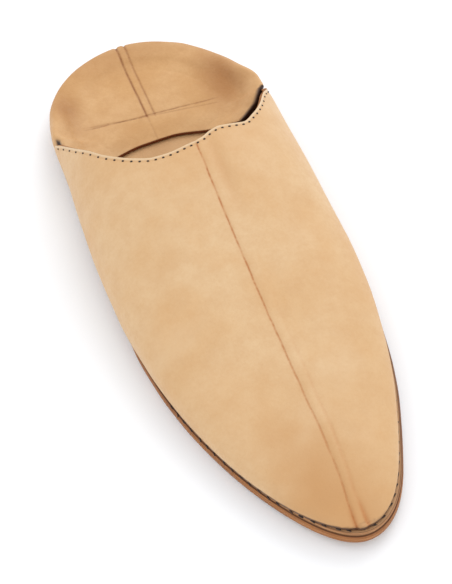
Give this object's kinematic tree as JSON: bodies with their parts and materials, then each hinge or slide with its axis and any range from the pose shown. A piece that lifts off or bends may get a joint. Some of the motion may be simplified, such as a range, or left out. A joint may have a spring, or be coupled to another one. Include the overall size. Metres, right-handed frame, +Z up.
{
  "type": "babouche slipper",
  "caption": "Flat backless leather slipper with a pointed-round toe, soft hollow upper and a folded-down heel quarter, worn by sliding the foot in at the collar.",
  "frame": {"origin": "middle of the slipper's length and width, on the ground under the sole", "axes": "+Z up, toe towards -Y, heel towards +Y, +X to the right when seen from the toe"},
  "size_m": [0.1006, 0.2744, 0.0477],
  "materials": {
    "outsole_leather": "dense brown sole leather, waxed edge",
    "midsole_leather": "raw cut edge, matt",
    "insole_leather": "pale lining leather, matt",
    "upper_leather": "smooth natural tan, satin",
    "quarter_leather": "smooth natural tan, slightly darker, satin"
  },
  "bodies": {
    "root": {"outsole": "outsole_leather", "midsole": "midsole_leather", "insole": "insole_leather", "upper": "upper_leather", "heel_quarter": "quarter_leather"}
  },
  "joints": []
}
